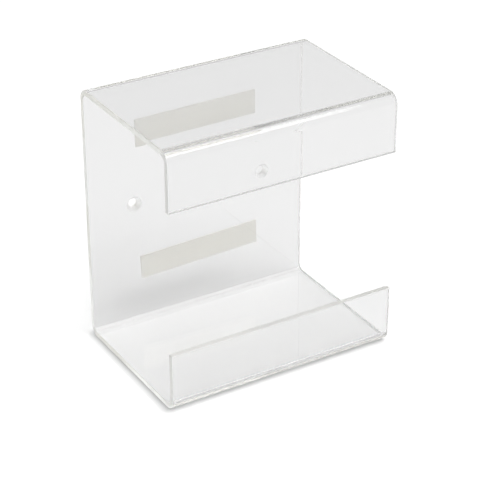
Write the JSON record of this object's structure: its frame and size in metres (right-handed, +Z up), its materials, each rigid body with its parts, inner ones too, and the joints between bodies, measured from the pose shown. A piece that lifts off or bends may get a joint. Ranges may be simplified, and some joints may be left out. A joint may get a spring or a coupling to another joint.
{
  "type": "wipe dispenser",
  "caption": "Clear folded acrylic wall dispenser for a carton of wipes: open ends, front lips above and below, countersunk screw holes and mounting tape behind.",
  "frame": {"origin": "on the ground, under the middle of the whole object's width and depth, mounting strips included", "axes": "+Z up from the base panel to the top panel, +X to the right along the bends as seen from the open front, +Y through the back panel to the wall"},
  "size_m": [0.1384, 0.0968, 0.1524],
  "materials": {
    "clear_acrylic": "polished",
    "foam_tape": "matte",
    "release_liner": "satin"
  },
  "bodies": {
    "root": {"acrylic_body": "clear_acrylic", "upper_foam_tape": "foam_tape", "lower_foam_tape": "foam_tape", "upper_release_liner": "release_liner", "lower_release_liner": "release_liner"}
  },
  "joints": []
}
